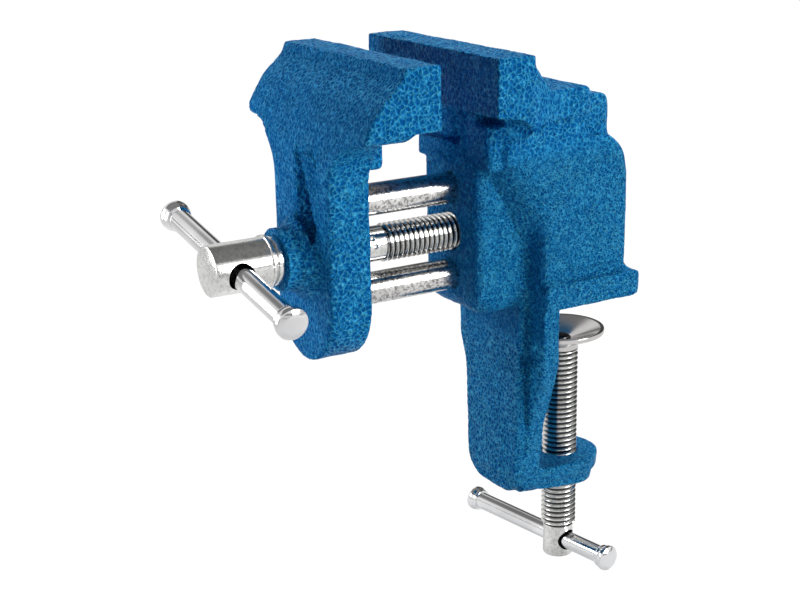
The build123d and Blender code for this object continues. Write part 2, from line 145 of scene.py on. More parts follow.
def rounded(points):
    """Profile points (r, t) or (r, t, radius): each corner with a radius becomes an arc."""
    out = []
    for i, p in enumerate(points):
        radius = p[2] if len(p) > 2 else 0
        here = Vector(p[:2])
        if not radius or i in (0, len(points) - 1):
            out.append(tuple(here))
            continue
        to_last = Vector(points[i - 1][:2]) - here
        to_next = Vector(points[i + 1][:2]) - here
        angle = to_last.angle(to_next)
        slope = np.tan(angle / 2)
        back = min(radius / slope, to_last.length * CORNER_SHARE, to_next.length * CORNER_SHARE)
        radius = back * slope
        to_last.normalize()
        to_next.normalize()
        middle = here + (to_last + to_next).normalized() * (radius / sin(angle / 2))
        start, end = here + to_last * back - middle, here + to_next * back - middle
        turn = atan2(start.x * end.y - start.y * end.x, start.dot(end))
        for k in range(ARC_STEPS + 1):
            c, s = cos(turn * k / ARC_STEPS), sin(turn * k / ARC_STEPS)
            out.append((middle.x + start.x * c - start.y * s,
                        middle.y + start.x * s + start.y * c))
    return out


def revolve(name, points, at, along, segments=128):
    """Turned piece: points are (radius, distance along the axis, corner radius), in mm."""
    basis = Vector(along).to_track_quat("Z", "Y").to_matrix()
    round_angles = np.linspace(0, 2 * pi, segments, endpoint=False)
    bm = bmesh.new()
    rings = []
    for r, t in rounded(points):
        rings.append([bm.verts.new(basis @ Vector((r * cos(a), r * sin(a), t)) + Vector(at))
                      for a in (round_angles if r >= ON_AXIS else (0,))])
    for low, high in zip(rings, rings[1:]):
        for k in range(segments):
            n = (k + 1) % segments
            if len(low) == 1:
                bm.faces.new((low[0], high[k], high[n]))
            elif len(high) == 1:
                bm.faces.new((low[k], low[n], high[0]))
            else:
                bm.faces.new((low[k], low[n], high[n], high[k]))
    return shade(made(name, bm))


def thread(start, end, at, along):
    """Helical M12 thread surface from start to end along the axis, in mm, closed at both ends."""
    shares_and_radii = (
        (0.0, THREAD_ROOT_R), (0.10, THREAD_ROOT_R), (0.44, THREAD_R - 0.06), (0.50, THREAD_R),
        (0.56, THREAD_R), (0.62, THREAD_R - 0.06), (0.96, THREAD_ROOT_R))
    steps = (ceil((end - start) / PITCH) + 2) * THREAD_SEGMENTS
    basis = Vector(along).to_track_quat("Z", "Y").to_matrix()
    bm = bmesh.new()
    grid = []
    for i in range(steps + 1):
        a = 2 * pi * i / THREAD_SEGMENTS
        row = []
        for share, r in shares_and_radii:
            t = start + PITCH * (i / THREAD_SEGMENTS - 1 + share)
            if not start < t < end:
                t, r = min(max(t, start), end), THREAD_ROOT_R
            row.append(bm.verts.new(basis @ Vector((r * cos(a), r * sin(a), t)) + Vector(at)))
        grid.append(row)
    for i in range(steps):
        here, ahead = grid[i], grid[i + 1]
        for k in range(len(here) - 1):
            bm.faces.new((here[k], ahead[k], ahead[k + 1], here[k + 1]))
        if i + THREAD_SEGMENTS + 1 < len(grid):
            bm.faces.new((here[-1], ahead[-1],
                          grid[i + THREAD_SEGMENTS + 1][0], grid[i + THREAD_SEGMENTS][0]))
    bmesh.ops.remove_doubles(bm, verts=bm.verts, dist=WELD)
    bmesh.ops.dissolve_degenerate(bm, dist=WELD, edges=bm.edges)
    loose = [v for v in bm.verts if not v.link_faces]
    bmesh.ops.delete(bm, geom=loose, context="VERTS")
    bmesh.ops.holes_fill(bm, edges=bm.edges, sides=0)
    return shade(made("thread", bm), THREAD_SHARP)


def join(piece, *others):
    """The others' meshes become part of piece."""
    bm = bmesh.new()
    for o in (piece, *others):
        bm.from_mesh(o.data)
    bm.to_mesh(piece.data)
    bm.free()
    for o in others:
        bpy.data.objects.remove(o)
    return piece


def baked(piece):
    """The piece's modifiers become its mesh."""
    graph = bpy.context.evaluated_depsgraph_get()
    mesh = bpy.data.meshes.new_from_object(piece.evaluated_get(graph))
    piece.modifiers.clear()
    piece.data = mesh
    return piece


def cut(piece, *cutters):
    """Takes the cutters' shapes out of the piece."""
    for cutter in cutters:
        hole = piece.modifiers.new("cut", "BOOLEAN")
        hole.operation = "DIFFERENCE"
        hole.solver = "EXACT"
        hole.object = cutter
        baked(piece)
        bpy.data.objects.remove(cutter)
    return piece


def cylinder(r, at, along, half):
    """Plain cutter, mm, centred on at."""
    return revolve("cutter", [(0, -half), (r, -half), (r, half), (0, half)], at, along)


def dent(r, at, long=None):
    """Round-bottomed cutter, mm: a ball, or an egg that is long along X."""
    long = long or r
    arc = [(r * sin(a), -long * cos(a)) for a in np.linspace(0, pi, 25)]
    arc[0], arc[-1] = (0, -long), (0, long)
    return revolve("dent", arc, at, X_AXIS, segments=48)


# --------------------------------------------------------------- materials

def set_stops(ramp, stops):
    """Gives a colour ramp its stops, pairs of place and colour."""
    elements = ramp.color_ramp.elements
    while len(elements) < len(stops):
        elements.new(0.5)
    for element, (at, colour) in zip(elements, stops):
        element.position = at
        element.color = (*colour, 1)


def greys(stops):
    """A colour ramp's stops from pairs of place and grey level."""
    return [(at, (level,) * 3) for at, level in stops]


class Nodes:
    """A material's node tree, with short calls for what the finishes share."""

    def __init__(self, name):
        self.material = bpy.data.materials.new(name)
        self.material.use_nodes = True
        self.tree = self.material.node_tree
        self.shader = self.tree.nodes["Principled BSDF"]
        self.coordinates = self.add("ShaderNodeTexCoord")
        self.place = self.coordinates.outputs["Object"]

    def add(self, kind, **settings):
        node = self.tree.nodes.new(kind)
        for key, value in settings.items():
            setattr(node, key, value)
        return node

    def feed(self, socket, value):
        """The socket gets another node's output or a plain value."""
        if isinstance(value, bpy.types.NodeSocket):
            self.tree.links.new(value, socket)
        else:
            socket.default_value = value

    def set(self, **sockets):
        """Sets sockets of the shader; an underscore stands for a space."""
        for key, value in sockets.items():
            self.feed(self.shader.inputs[key.replace("_", " ")], value)
        return self.material

    def maths(self, operation, a, b):
        node = self.add("ShaderNodeMath", operation=operation)
        self.feed(node.inputs[0], a)
        self.feed(node.inputs[1], b)
        return node.outputs["Value"]

    def vector(self, operation, a, b):
        node = self.add("ShaderNodeVectorMath", operation=operation)
        self.feed(node.inputs[0], a)
        self.feed(node.inputs[1], b)
        return node.outputs["Vector"]

    def length(self, vector):
        node = self.add("ShaderNodeVectorMath", operation="LENGTH")
        self.feed(node.inputs[0], vector)
        return node.outputs["Value"]

    def part(self, kind, axis):
        """One axis of the place (Object) or of the normal (Normal)."""
        split = self.add("ShaderNodeSeparateXYZ")
        self.feed(split.inputs["Vector"], self.coordinates.outputs[kind])
        return split.outputs[axis]

    def between(self, source, low, high):
        """0 at low, 1 at high."""
        node = self.add("ShaderNodeMapRange", interpolation_type="SMOOTHSTEP")
        for key, value in (("Value", source), ("From Min", low), ("From Max", high)):
            self.feed(node.inputs[key], value)
        return node.outputs["Result"]

    def noise(self, scale, detail=2.0, roughness=0.5, stretch=None):
        node = self.add("ShaderNodeTexNoise")
        place = self.vector("MULTIPLY", self.place, stretch) if stretch else self.place
        for key, value in (("Vector", place), ("Scale", scale), ("Detail", detail),
                           ("Roughness", roughness)):
            self.feed(node.inputs[key], value)
        return node.outputs["Fac"]

    def cell_walls(self, scale, warp):
        """Distance to the walls of cells that wander by up to half of warp, metres."""
        wander = self.add("ShaderNodeTexNoise")
        self.feed(wander.inputs["Vector"], self.place)
        self.feed(wander.inputs["Scale"], scale * 1.3)
        shift = self.vector("SUBTRACT", wander.outputs["Color"], (0.5, 0.5, 0.5))
        shift = self.vector("MULTIPLY", shift, (warp, warp, warp))
        node = self.add("ShaderNodeTexVoronoi", feature="DISTANCE_TO_EDGE")
        self.feed(node.inputs["Vector"], self.vector("ADD", self.place, shift))
        self.feed(node.inputs["Scale"], scale)
        return node.outputs["Distance"]

    def ramp(self, source, stops):
        node = self.add("ShaderNodeValToRGB")
        self.feed(node.inputs["Fac"], source)
        set_stops(node, stops)
        return node.outputs["Color"]

    def grey(self, source, low, high, at=(0.0, 1.0)):
        return self.ramp(source, greys(zip(at, (low, high))))

    def mix(self, share, under, over, **settings):
        node = self.add("ShaderNodeMix", **settings)
        for key, value in (("Factor", share), ("A", under), ("B", over)):
            self.feed(node.inputs[key], value)
        return node.outputs["Result"]

    def blend(self, share, under, over):
        return self.mix(share, under, over, data_type="FLOAT")

    def tinted(self, share, under, over):
        return self.mix(share, under, over, data_type="RGBA", blend_type="MULTIPLY")

    def bump(self, height, distance, strength, under=None):
        node = self.add("ShaderNodeBump")
        for key, value in (("Height", height), ("Distance", distance), ("Strength", strength)):
            self.feed(node.inputs[key], value)
        if under is not None:
            self.feed(node.inputs["Normal"], under)
        return node.outputs["Normal"]


# Where the kinds of enamel skin begin and are full, metres
COARSE_FROM_Z = (0.045, 0.056)         # the jaws
COARSE_FROM_X = (-0.066, -0.069)       # the moving jaw's neck and apron
COLUMN_FROM_Z = (-0.009, -0.013)
FACING_FROM_NORMAL = (-0.55, -0.85)    # faces towards the handle, by the X of their normal
# Distance to a cell's wall and how much of the light rim shows there. The light rim is partly the
# enamel's own and partly a painted highlight.
CELL_RIMS = ((0.0, 1.0), (0.10, 0.45), (0.30, 0.12), (0.6, 0.0))
WORM_RIMS = ((0.0, 1.0), (0.10, 0.5), (0.30, 0.1), (0.6, 0.0))
# How much the faces towards the handle take the streaks, whose light lines are painted grazing
# light
STREAK_SHARE = 0.55
# Blues of the enamel; the two lightest stops are a painted highlight on the cells' rims
ENAMEL_TONES_AND_GLINTS = ((0.0, (0.0014, 0.068, 0.26)), (0.3, (0.004, 0.155, 0.47)),
                 (0.8, (0.03, 0.46, 0.92)), (1.0, (0.09, 0.62, 1.0)))
CLOUD_ENDS = (0.3, 0.7)                # soft noise, from its low values to its high ones
WHITE = (1.0, 1.0, 1.0)
# Painted shade for the roots of a thread
THREAD_ROOT_SHADE = (0.10, 0.10, 0.11)
PIT_GREY = (0.12, 0.12, 0.12)


def hammered_enamel():
    """Hammer-finish enamel: light-rimmed cells on the jaws and the column's front, a finer skin
    on the rest, and faint upright streaks on the faces towards the handle. The rims' light is
    partly a painted highlight, and the streaks' light lines are painted grazing light."""
    m = Nodes("hammered_blue_enamel")
    x, z = m.part("Object", "X"), m.part("Object", "Z")
    facing = m.between(m.part("Normal", "X"), *FACING_FROM_NORMAL)
    column = m.maths("MULTIPLY", facing, m.between(z, *COLUMN_FROM_Z))
    coarse = m.maths("MAXIMUM", m.between(z, *COARSE_FROM_Z), m.between(x, *COARSE_FROM_X))
    coarse = m.maths("MAXIMUM", coarse, column)
    facing = m.maths("SUBTRACT", facing, column)
    cells = m.ramp(m.cell_walls(650, warp=0.0011), greys(CELL_RIMS))
    worms = m.ramp(m.cell_walls(1000, warp=0.0016), greys(WORM_RIMS))
    # painted grazing light: light upright streaks on the faces towards the handle, over the
    # enamel's streaky skin
    streaks = m.noise(2200, detail=2, roughness=0.6, stretch=(1, 1, 0.35))
    streaks = m.grey(streaks, 0.0, 0.8, (0.4, 0.72))
    skin = m.blend(coarse, worms, cells)
    skin = m.blend(m.maths("MULTIPLY", facing, STREAK_SHARE), skin, streaks)
    skin = m.maths("MULTIPLY", skin, m.grey(m.noise(900), 0.5, 1.5, CLOUD_ENDS))
    # painted highlight: the cells' light rims take the lightest tones over the enamel's own blues
    shown = m.ramp(skin, ENAMEL_TONES_AND_GLINTS)
    cloud = m.grey(m.noise(110, detail=3), 0.93, 1.05, CLOUD_ENDS)
    shown = m.tinted(1.0, shown, cloud)
    normal = m.bump(skin, 0.0008, 1.0)
    normal = m.bump(m.noise(1500, detail=4, roughness=0.65), 0.0004, 0.9, normal)
    return m.set(Base_Color=shown, Roughness=m.grey(skin, 0.42, 0.26, (0.0, 0.8)),
                 Normal=normal, Specular_IOR_Level=m.grey(skin, 0.006, 0.12, (0.25, 1.0)))


def plated(name, colour, rough, pits=0.0, scratches=0.0, root=None):
    """Bright plate; pits and scratches say how much of the metal under it shows. A thread's root
    is darkened with painted shade: root is its axis's height, the axes of its cross-section, the
    radius where the painted shade ends, the axis it runs along and where it starts on it."""
    m = Nodes(name)
    cloud = m.noise(60, detail=3)
    shown = m.ramp(cloud, [(0.3, tuple(c * 0.8 for c in colour)), (0.65, colour)])
    height = m.noise(1400, detail=4, roughness=0.7)
    if root:
        level, cross, dark_to, axis, start = root
        # painted shade: the colour darkens in the thread's roots and fades out at dark_to
        across = m.vector("MULTIPLY", m.vector("SUBTRACT", m.place, (0, 0, level)), cross)
        unshaded = m.maths("MAXIMUM", m.between(m.length(across), THREAD_ROOT_R * MM, dark_to),
                        m.between(m.part("Object", axis), start, start - 0.0003))
        shown = m.tinted(1.0, shown, m.ramp(unshaded, [(0.0, THREAD_ROOT_SHADE), (1.0, WHITE)]))
    if pits:
        speck = m.ramp(m.noise(900, detail=5, roughness=0.75), [(0.41, PIT_GREY), (0.53, WHITE)])
        shown = m.tinted(pits, shown, speck)
    normal = m.bump(height, 0.0001, 0.15 + scratches)
    return m.set(Base_Color=shown, Metallic=1.0, Normal=normal,
                 Roughness=m.grey(cloud, rough * 0.7, rough * 1.3, CLOUD_ENDS))


SCREW_LOOK = {"colour": (0.86, 0.86, 0.84), "rough": 0.14, "pits": 0.25, "scratches": 0.15}
ENAMEL = hammered_enamel()
ROD_PLATE = plated("pitted_rod_plate", (0.80, 0.79, 0.78), 0.14, pits=0.8, scratches=0.3)
# the screws' plate, with painted shade in the thread's roots
SCREW_PLATE = plated("screw_plate", **SCREW_LOOK,
                     root=(SCREW_Z * MM, (0, 1, 1), 0.0058, "X", THREAD_START_X * MM))
CLAMP_PLATE = plated("clamp_screw_plate", **SCREW_LOOK,
                     root=(0, (1, 1, 0), 0.0056, "Z", CLAMP_THREAD_Z * MM))
BAR_PLATE = plated("bar_chrome", (0.90, 0.90, 0.91), 0.08)
PAD_PLATE = plated("pad_chrome", (0.72, 0.70, 0.69), 0.16)
RING_STEEL = plated("ring_steel", (0.42, 0.42, 0.43), 0.3)


def finish(piece, material, slot, body, *replaced):
    piece.data.materials.clear()
    piece.data.materials.append(material)
    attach(piece, body)
    if replaced:
        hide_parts(*replaced)
    return piece


# ---------------------------------------------------------------- castings

VOXEL = 0.45
SMOOTHING_ROUNDS = 3
# The cast skin: kind of texture, its size, its depth from lowest to highest, mm, and its middle
CAST_SKIN = (("CLOUDS", 9.0, 0.5, 0.4), ("VORONOI", 1.7, 0.2, 0.3))
SOFTEN_STEP = 0.6            # share of the way to the neighbours' middle, each round
ROUGH_FADE = 2.0
FINE_LUMPS, FINE_SHARE = 2.3, 0.5
BORE_GAP = 0.12              # round the rods and screws in the body
JAW_ROD_GAP, JAW_SCREW_GAP = 0.02, 0.05
ROUNDED_SIDES = 8


def displaced(piece, kind, size, depth, middle):
    """Moves the surface in and out by depth, mm, in all, over cells or clouds of that size, mm."""
    texture = bpy.data.textures.new(f"{piece.name}_{kind.lower()}", kind)
    texture.noise_scale = size * MM
    if kind == "CLOUDS":
        texture.noise_depth = 1
    push = piece.modifiers.new(kind.lower(), "DISPLACE")
    push.texture = texture
    push.texture_coords = "LOCAL"
    push.mid_level = middle
    push.strength = depth * MM


def swelling(low, high, radius):
    """Block with round edges, mm, that fills out a casting's corner."""
    bm = bmesh.new()
    bmesh.ops.create_cube(bm, size=1)
    middle, size = (Vector(low) + Vector(high)) / 2, Vector(high) - Vector(low)
    for v in bm.verts:
        v.co = Vector(a * b for a, b in zip(v.co, size)) + middle
    bmesh.ops.bevel(bm, geom=bm.edges, offset=radius, segments=ROUNDED_SIDES, affect="EDGES",
                    profile=0.5)
    return made("swelling", bm)


def casting(name, node, *swellings, grooves=()):
    """The CAD solid's shape with cast edges: fine voxels, softened, then the uneven cast skin."""
    piece = join(cut(link(name, nodes[node].data.copy()), *grooves), *swellings)
    remesh = piece.modifiers.new("skin", "REMESH")
    remesh.mode = "VOXEL"
    remesh.voxel_size = VOXEL * MM
    soften = piece.modifiers.new("soften", "SMOOTH")
    soften.factor = 0.5
    soften.iterations = SMOOTHING_ROUNDS
    for layer in CAST_SKIN:
        displaced(piece, *layer)
    return baked(piece)


def vertices(piece):
    """Where the mesh's points are, metres, a row each."""
    place = np.empty(len(piece.data.vertices) * 3)
    piece.data.vertices.foreach_get("co", place)
    return place.reshape(-1, 3)


def move_vertices(piece, place):
    piece.data.vertices.foreach_set("co", place.ravel())
    piece.data.update()


def pressed(piece, x, side):
    """No skin stands out past the gripping face at x, mm; side is +1 where the face looks to +X."""
    place = vertices(piece)
    place[:, 0] = side * np.minimum(side * place[:, 0], side * x * MM)
    move_vertices(piece, place)


def softened(piece, low, high, rounds, fade):
    """Rounds the edges inside a box, more with more rounds, fading out over the last of it
    towards its sides. The box and the fade are in mm."""
    place = vertices(piece)
    inside = np.minimum(place - np.array(low) * MM, np.array(high) * MM - place).min(axis=1)
    edges = piece.data.edges
    ends = np.empty(len(edges) * 2, dtype=np.int32)
    edges.foreach_get("vertices", ends)
    ends = ends.reshape(-1, 2)
    ends = ends[(inside[ends] > 0).any(axis=1)]
    used, ends = np.unique(ends, return_inverse=True)
    a, b = ends.reshape(-1, 2).T
    size = len(used)
    spot = place[used]
    share = SOFTEN_STEP * np.clip(inside[used] / (fade * MM), 0, 1)[:, None]
    count = np.maximum(np.bincount(a, minlength=size) + np.bincount(b, minlength=size), 1)
    for _ in range(rounds):
        sums = [np.bincount(a, spot[b, k], size) + np.bincount(b, spot[a, k], size)
                for k in range(3)]
        mean = np.stack([axis_sum / count for axis_sum in sums], axis=1)
        spot = spot + (mean - spot) * share
    place[used] = spot
    move_vertices(piece, place)


def roughened(piece, low, high, size, depth):
    """Torn, lumpy skin inside a box, mm, fading out towards its edges."""
    place = vertices(piece) / MM
    inside = np.minimum(place - np.array(low), np.array(high) - place).min(axis=1)
    for i in np.nonzero(inside > 0)[0]:
        at = Vector(place[i]) / size
        lump = noise.noise(at) + FINE_SHARE * noise.noise(at * FINE_LUMPS)
        fade = min(inside[i] / ROUGH_FADE, 1.0)
        place[i] += np.array(piece.data.vertices[i].normal) * lump * depth * fade
    move_vertices(piece, place * MM)


def drill(piece, *cutters):
    """Takes all the cutters out in one go and keeps the bores' edges crisp."""
    shade(cut(piece, join(*cutters)), BORED_SHARP)


# The flute's rings down the neck: height, far edge, deepest line, near edge and depth, mm
FLUTE_RINGS = (
    (57.5, 0.6, 0.2, -0.8, -0.6), (54.0, 1.3, 0.3, -2.6, 1.2), (50.0, 1.8, 0.4, -4.4, 2.2),
    (45.5, 2.0, 0.3, -6.3, 3.2), (41.0, 1.7, -0.6, -8.3, 3.6), (37.0, 0.4, -2.2, -9.8, 3.6),
    (33.0, -3.0, -5.2, -10.8, 3.0), (29.8, -6.4, -7.6, -10.8, -0.5))
FLUTE_PROUD_X = NECK_FRONT_X - 2


def flute():
    """Cutter for the leaning flute down the neck: steep far wall, long slope on the near side."""
    bm = bmesh.new()
    rings = []
    for z, far, deepest, near, depth in FLUTE_RINGS:
        rings.append([bm.verts.new(v) for v in (
            (FLUTE_PROUD_X, far, z), (NECK_FRONT_X, far, z), (NECK_FRONT_X + depth, deepest, z),
            (NECK_FRONT_X, near, z), (FLUTE_PROUD_X, near, z))])
    for upper, lower in zip(rings, rings[1:]):
        for k in range(len(upper)):
            n = (k + 1) % len(upper)
            bm.faces.new((upper[k], upper[n], lower[n], lower[k]))
    bm.faces.new(rings[0])
    bm.faces.new(reversed(rings[-1]))
    bmesh.ops.triangulate(bm, faces=bm.faces)
    bmesh.ops.recalc_face_normals(bm, faces=bm.faces)
    return made("flute", bm)


# Edges that are worn rounder: lowest and highest corner of a box, rounds and fade, mm
BODY_WORN = (
    ((-31, -27, 0), (-14, -15, 50), 160, 5),     # the flare's near side
    ((-31, 15, 0), (-14, 27, 50), 160, 5),       # and its far side
    ((-13, -30, 64), (-4, 30, 75), 30, 3),       # the anvil's rear
    ((-4, -30, 53), (7, 30, 67), 40, 3),         # the rear boss
    ((1, -30, 40), (12, 30, 58), 70, 3))         # the body's rear shoulder
JAW_WORN = (
    ((-100, -22, -6), (-90, -13, 57), 40, 3),    # the neck's near corner
    ((-100, 13, -6), (-90, 22, 57), 40, 3))      # and its far corner

body_casting = casting(
    "body_casting", "fixed_body",
    swelling((-43.8, -16.0, -1.6), (-20, 17.0, 20), 6.0),      # the nose
    swelling((-28.8, -12, -67.5), (-20, 15.2, -40), 6.5),      # the rib's foot
    swelling((-39, -24, 46), (-14, 24, 59.6), 3.0))            # between shoulder and body
for worn in BODY_WORN:
    softened(body_casting, *worn)
roughened(body_casting, (-47, -10, 45), (-37, 7, 64), size=3.2, depth=1.5)
pressed(body_casting, FIXED_FACE_X, -1)
drill(body_casting,
      cylinder(ROD_R + BORE_GAP, (0, 0, UPPER_ROD_Z), X_AXIS, 60),
      cylinder(ROD_R + BORE_GAP, (0, 0, LOWER_ROD_Z), X_AXIS, 60),
      cylinder(THREAD_R + BORE_GAP, (0, 0, SCREW_Z), X_AXIS, 60),
      cylinder(THREAD_R + BORE_GAP, (0, 0, ARM_TOP_Z), Z_AXIS, 20),
      dent(3.4, (-26.9, -18.8, -17.8)),          # the dimple on the column
      dent(4.4, (-35.3, -25.3, 59.3), 7.6),      # the pockets beside the shoulder
      dent(4.4, (-35.3, 25.3, 59.3), 7.6))
finish(body_casting, ENAMEL, "blue_paint", "base", "fixed_body")

jaw_casting = casting("jaw_casting", "moving_jaw", grooves=(flute(),))
for worn in JAW_WORN:
    softened(jaw_casting, *worn)
roughened(jaw_casting, (-100, -13, 31), (-91, 4, 58), size=1.1, depth=0.7)
pressed(jaw_casting, MOVING_FACE_X, 1)
drill(jaw_casting,
      cylinder(ROD_R + JAW_ROD_GAP, (APRON_BACK_X, 0, UPPER_ROD_Z), X_AXIS, 9.4),
      cylinder(ROD_R + JAW_ROD_GAP, (APRON_BACK_X, 0, LOWER_ROD_Z), X_AXIS, 9.4),
      cylinder(THREAD_R + JAW_SCREW_GAP, (APRON_BACK_X, 0, SCREW_Z), X_AXIS, 20),
      cylinder(12, (WASHER_X - 3, 0, SCREW_Z), X_AXIS, 3))
finish(jaw_casting, ENAMEL, "blue_paint", "jaw", "moving_jaw")


# ------------------------------------------------------------------- rods

def guide_rod(name, node, z):
    low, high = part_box(node)
    start = low.x / MM
    long = high.x / MM - start
    rod = revolve(name, [
        (0, 0), (ROD_R, 0, ROD_END_ROUND), (ROD_R, long, ROD_END_ROUND), (0, long)],
        (start, 0, z), X_AXIS)
    finish(rod, ROD_PLATE, "rod_steel", "jaw", node)


guide_rod("rod_upper", "upper_guide_rod", UPPER_ROD_Z)
guide_rod("rod_lower", "lower_guide_rod", LOWER_ROD_Z)


# ------------------------------------------------------------- main screw

def main_screw():
    """Head with bead and cross hole, journal with two dents, and thread."""
    end_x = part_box("main_screw")[1].x / MM
    root = HEAD_ROOT_X - HEAD_TIP_X
    shoulder = APRON_BACK_X + SHOULDER_FROM_APRON - HEAD_TIP_X
    journal_end = THREAD_START_X - HEAD_TIP_X
    last = journal_end + 0.25
    screw = revolve("main_screw_turned", [
        (0, 0), (MAIN_HEAD_R, 0, 0.5), (MAIN_HEAD_R, 17.8, 0.2), (BEAD_R, 17.9, 0.2),
        (BEAD_R, 18.9, 0.2), (COLLAR_R, 19.0, 0.1), (COLLAR_R, root, 0.1), (THREAD_R, root, 0.1),
        (THREAD_R, shoulder, 0.2), (JOURNAL_R, shoulder + 0.4, 0.2),
        (JOURNAL_R, journal_end, 0.3), (THREAD_ROOT_R - 0.1, last), (0, last)],
        (HEAD_TIP_X, 0, SCREW_Z), X_AXIS)
    cut(screw, cylinder(MAIN_HOLE_R, (CROSS_HOLE_X, 0, SCREW_Z), MAIN_BAR_ALONG, 12),
        dent(1.1, (-74.4, -5.0, SCREW_Z + 3.1)), dent(1.0, (-73.6, -5.8, SCREW_Z + 0.6)))
    shade(screw)
    join(screw, thread(0, end_x - THREAD_START_X - 0.05, (THREAD_START_X, 0, SCREW_Z), X_AXIS))
    finish(screw, SCREW_PLATE, "screw_plate", "spindle", "main_screw")


main_screw()
washer = revolve("thrust_washer_turned", [
    (6.05, 0), (7.5, 0, 0.25), (7.5, 2.0, 0.25), (6.05, 2.0), (6.05, 0)],
    (HEAD_ROOT_X, 0, SCREW_Z), X_AXIS)
finish(washer, SCREW_PLATE, "screw_plate", "spindle", "thrust_washer")
nodes["retaining_ring"].data.materials.clear()
nodes["retaining_ring"].data.materials.append(RING_STEEL)


# ------------------------------------------------------------------- bars

SHANK_IN_KNOB = 3


def bar_and_knobs(prefix, middle, along, r, overall, knob, body):
    """Sliding bar with its two pressed knobs; knob is (radius, neck radius, length)."""
    middle, along = Vector(middle), Vector(along)
    outer, neck, long = knob
    half = overall / 2 - long / 2
    reach = half + SHANK_IN_KNOB
    bar = revolve(prefix + "_shank", [(0, -reach), (r, -reach), (r, reach), (0, reach)],
                  middle, along)
    finish(bar, BAR_PLATE, "bar_chrome", body, prefix)
    for side, word in ((-1, "near"), (1, "far")):
        head = revolve(f"{prefix}_{word}_head", [
            (r + 0.01, 0), (neck - 0.2, 0, 0.3), (neck + 0.1, 0.6, 0.3), (neck - 0.1, 1.2, 0.3),
            (outer - 0.1, 2.1, 0.7), (outer, 2.7, 0.5), (outer, long - 1.2, 0.8),
            (outer * 0.62, long - 0.4, 3.0), (0, long)],
            middle + along * side * half, along * side)
        finish(head, BAR_PLATE, "bar_chrome", body, f"{prefix}_{word}_knob")


def bar_middle(hole, along, side, sag, slid):
    """The middle of a bar that lies down and to one side in its hole by sag, mm, in all, and has
    slid along its own axis by slid."""
    down = Vector(along).cross(Vector(side))
    return Vector(hole) + (down + Vector(side)) * (sag / sqrt(2)) + Vector(along) * slid


bar_and_knobs("main_bar",
              bar_middle((CROSS_HOLE_X, 0, SCREW_Z), MAIN_BAR_ALONG, X_AXIS, sag=0.6, slid=2.3),
              MAIN_BAR_ALONG, MAIN_BAR_R, 80.5, (4.9, 4.3, 5.2), "spindle_bar")
bar_and_knobs("clamp_bar",
              bar_middle((0, 0, CLAMP_HOLE_Z), CLAMP_BAR_ALONG, CLAMP_BAR_SIDE, sag=0.5, slid=9.7),
              CLAMP_BAR_ALONG, CLAMP_BAR_R, 64.4, (4.4, 3.8, 4.8), "clamp_spindle_bar")


# ------------------------------------------------------------ clamp screw

def clamp_screw():
    """Cross-drilled head, thread, and the stud that is riveted over in the pad."""
    seat = PAD_RIM_Z - 3.7
    neck_z = CLAMP_THREAD_Z + 0.1
    screw = revolve("clamp_screw_turned", [
        (0, CLAMP_HEAD_Z), (CLAMP_HEAD_R, CLAMP_HEAD_Z, 0.5), (CLAMP_HEAD_R, CLAMP_THREAD_Z, 0.1),
        (4.9, neck_z), (0, neck_z)], ORIGIN, Z_AXIS)
    cut(screw, cylinder(CLAMP_HOLE_R, (0, 0, CLAMP_HOLE_Z), CLAMP_BAR_ALONG, 10))
    shade(screw)
    spiral = thread(CLAMP_THREAD_Z, CLAMP_SHOULDER_Z, ORIGIN, Z_AXIS)
    stud = revolve("stud", [
        (0, CLAMP_SHOULDER_Z - 0.2), (2.3, CLAMP_SHOULDER_Z - 0.2), (2.3, seat + 0.1),
        (3.1, seat + 0.1), (3.0, seat + 0.6, 0.3), (2.0, seat + 1.0, 0.8), (0, seat + 1.1)],
        ORIGIN, Z_AXIS)
    join(screw, spiral, stud)
    finish(screw, CLAMP_PLATE, "screw_plate", "clamp_spindle", "clamp_screw")


clamp_screw()
pad = revolve("clamp_pad_turned", [
    (PAD_HOLE_R, PAD_FOOT_Z), (PAD_HOLE_R, -19.7, 0.1), (3.5, -19.7, 1.5),
    (13.4, PAD_RIM_Z - 0.2, 0.5), (PAD_R, PAD_RIM_Z, 0.3), (PAD_R, -17.6, 0.6),
    (6.3, -21.2, 1.5), (6.0, PAD_FOOT_Z, 0.4), (PAD_HOLE_R, PAD_FOOT_Z)], ORIGIN, Z_AXIS)
finish(pad, PAD_PLATE, "pad_steel", "pad", "clamp_pad")


# ----------------------------------------------------- camera, floor, light

CAMERA_AT = Vector((-285.91, -384.74, 142.41)) * MM
CAMERA_AZIMUTH, CAMERA_ELEVATION, CAMERA_ROLL = radians(30.14), radians(17.26), radians(-1.15)
FOCAL_PX, IMAGE_WIDTH_PX, SENSOR_MM = 1485.6, 800, 36
OPAQUE_WHITE = (1, 1, 1, 1)
FLOOR_HALF_SIDE = 6
FLOOR_GAP = 0.0005           # under the lowest point of the vise
FLOOR_GREY = (0.7, 0.7, 0.7, 1)
FLOOR_GLOW = 1.06
FLOOR_WHITE = 0.95           # how much of the glow the camera sees
FLOOR_MIRRORED = 0.45        # and how much of it the metal mirrors
